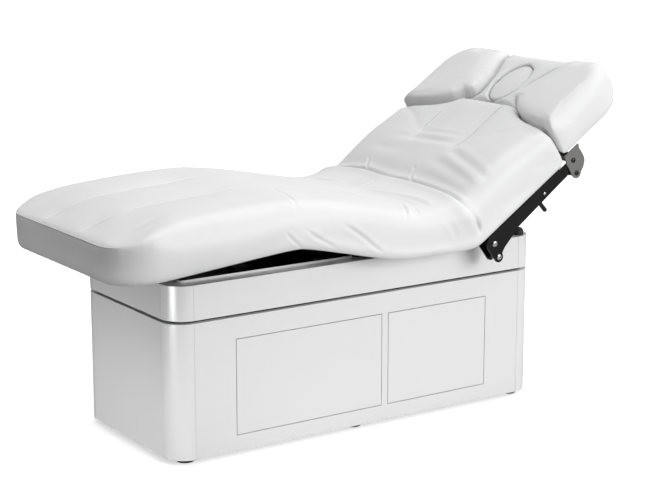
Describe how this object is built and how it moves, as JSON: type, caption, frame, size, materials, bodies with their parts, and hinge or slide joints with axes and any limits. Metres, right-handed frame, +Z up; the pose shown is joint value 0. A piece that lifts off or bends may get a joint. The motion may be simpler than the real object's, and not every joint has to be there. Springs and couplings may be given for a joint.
{
  "type": "facial treatment bed",
  "caption": "Facial treatment bed: lift cabinet with storage doors and a rising skirted deck, adjustable leg, back and winged head sections with a lift-out face plug.",
  "frame": {"origin": "centre of the bed's overall box, on the floor under the feet, with the lift down and the sections as stored", "axes": "+X from the foot end to the head end, +Y towards the side without storage doors, +Z up"},
  "size_m": [1.9134, 0.8, 1.0913],
  "materials": {
    "panel_white": "gloss",
    "white_steel": "gloss",
    "black_steel": "gloss",
    "grey_steel": "satin",
    "screw_steel": "polished",
    "column_alu": "satin",
    "black_plastic": "satin",
    "black_rubber": "matte",
    "plywood": "matte",
    "box_white": "satin",
    "upholstery": "satin"
  },
  "bodies": {
    "base": {"base_frame": "grey_steel", "levelling_feet": "black_rubber", "lower_corner_posts": "panel_white", "door_side_panel": "panel_white", "plain_side_panel": "panel_white", "foot_end_panel": "panel_white", "head_end_panel": "panel_white", "cabinet_floor": "box_white", "storage_box_long": "box_white", "storage_box_short": "box_white", "lift_columns_outer": "column_alu", "control_box": "black_plastic", "mains_inlet": "black_plastic", "door_pivot_pins": "screw_steel", "push_latch_housings": "black_plastic"},
    "push_plunger_a": {"push_plunger_long": "black_plastic"},
    "push_plunger_b": {"push_plunger_short": "black_plastic"},
    "door_long": {"storage_door_long": "panel_white"},
    "door_short": {"storage_door_short": "panel_white"},
    "lift_middle": {"lift_columns_middle": "column_alu"},
    "carriage": {"lift_columns_inner": "column_alu", "carriage_frame": "grey_steel", "upper_corner_posts": "panel_white", "upper_side_panels": "panel_white", "upper_end_panels": "panel_white", "top_ledge": "white_steel", "gap_sleeve": "black_plastic", "deck_pan": "grey_steel", "rubber_stops": "black_rubber", "hip_frame": "grey_steel", "hip_board": "plywood", "hip_cushion": "upholstery", "drive_housings": "black_plastic"},
    "thigh": {"thigh_frame": "black_steel", "thigh_board": "plywood", "thigh_cushion": "upholstery", "knee_pin": "screw_steel"},
    "calf": {"calf_frame": "black_steel", "calf_board": "plywood", "calf_cushion": "upholstery"},
    "back": {"back_torsion_tube": "black_steel", "back_side_arms": "black_steel", "back_cross_tubes": "black_steel", "back_board": "plywood", "back_cushion": "upholstery", "back_hinge_screws": "screw_steel", "head_pivot_pins": "screw_steel", "head_gas_cylinder": "black_steel"},
    "lever": {"release_lever": "black_plastic"},
    "head": {"head_hinge_plates": "black_steel", "head_plate_screws": "screw_steel", "head_frame": "black_steel", "head_board": "plywood", "head_cushion": "upholstery", "head_wing_left": "upholstery", "head_wing_right": "upholstery"},
    "plug": {"face_plug": "upholstery"},
    "back_drive": {"back_drive_rod": "screw_steel"},
    "leg_drive": {"leg_drive_rod": "screw_steel"},
    "gas_rod": {"head_gas_rod": "screw_steel"}
  },
  "joints": [
    {"name": "lift", "type": "slide", "parent": "base", "child": "carriage", "axis": [0, 0, 1], "range_m": [0, 0.3]},
    {"name": "lift_middle_slide", "type": "slide", "parent": "base", "child": "lift_middle", "axis": [0, 0, 1], "range_m": [0, 0.15]},
    {"name": "thigh_tilt", "type": "hinge", "parent": "carriage", "child": "thigh", "pos_m": [-0.02324, 0, 0.534], "axis": [0, 1, 0], "range_deg": [-13.2, 11.8]},
    {"name": "calf_tilt", "type": "hinge", "parent": "thigh", "child": "calf", "pos_m": [-0.35334, 0, 0.61688], "axis": [0, 1, 0], "range_deg": [-16.7, 18.6]},
    {"name": "back_tilt", "type": "hinge", "parent": "carriage", "child": "back", "pos_m": [0.37032, 0, 0.55705], "axis": [0, -1, 0], "range_deg": [-33.5, 36.5]},
    {"name": "head_tilt", "type": "hinge", "parent": "back", "child": "head", "pos_m": [0.68591, 0, 0.79591], "axis": [0, 1, 0], "range_deg": [0, 30]},
    {"name": "release_lever_tilt", "type": "hinge", "parent": "back", "child": "lever", "pos_m": [0.55383, -0.3745, 0.67659], "axis": [0, 1, 0], "range_deg": [0, 12], "stiffness_Nm_per_rad": 1, "springref_deg": -1.15},
    {"name": "face_plug_lift", "type": "slide", "parent": "head", "child": "plug", "axis": [-0.5519, 0, 0.8339], "range_m": [0, 0.16]},
    {"name": "door_long_swing", "type": "hinge", "parent": "base", "child": "door_long", "pos_m": [-0.51974, -0.287, 0.213], "axis": [0, 0, -1], "range_deg": [0, 100]},
    {"name": "door_short_swing", "type": "hinge", "parent": "base", "child": "door_short", "pos_m": [0.41026, -0.287, 0.213], "axis": [0, 0, 1], "range_deg": [0, 100]},
    {"name": "push_latch_a", "type": "slide", "parent": "base", "child": "push_plunger_a", "axis": [0, 1, 0], "range_m": [0, 0.004], "stiffness_N_per_m": 300, "springref_m": -0.002},
    {"name": "push_latch_b", "type": "slide", "parent": "base", "child": "push_plunger_b", "axis": [0, 1, 0], "range_m": [0, 0.004], "stiffness_N_per_m": 300, "springref_m": -0.002},
    {"name": "back_drive_stroke", "type": "slide", "parent": "carriage", "child": "back_drive", "axis": [1, 0, 0], "range_m": [-0.05, 0.05]},
    {"name": "leg_drive_stroke", "type": "slide", "parent": "carriage", "child": "leg_drive", "axis": [-1, 0, 0], "range_m": [-0.03, 0.03]},
    {"name": "head_gas_stroke", "type": "slide", "parent": "back", "child": "gas_rod", "axis": [0.8339, 0, 0.5519], "range_m": [-0.08, 0]}
  ],
  "couplings": [
    {"joint": "lift_middle_slide", "follows": "lift", "ratio": 0.5},
    {"joint": "calf_tilt", "follows": "thigh_tilt", "ratio": -1.409},
    {"joint": "back_drive_stroke", "follows": "back_tilt", "m_per_rad": 0.0575},
    {"joint": "leg_drive_stroke", "follows": "thigh_tilt", "m_per_rad": 0.0598},
    {"joint": "head_gas_stroke", "follows": "head_tilt", "m_per_rad": -0.0695}
  ]
}
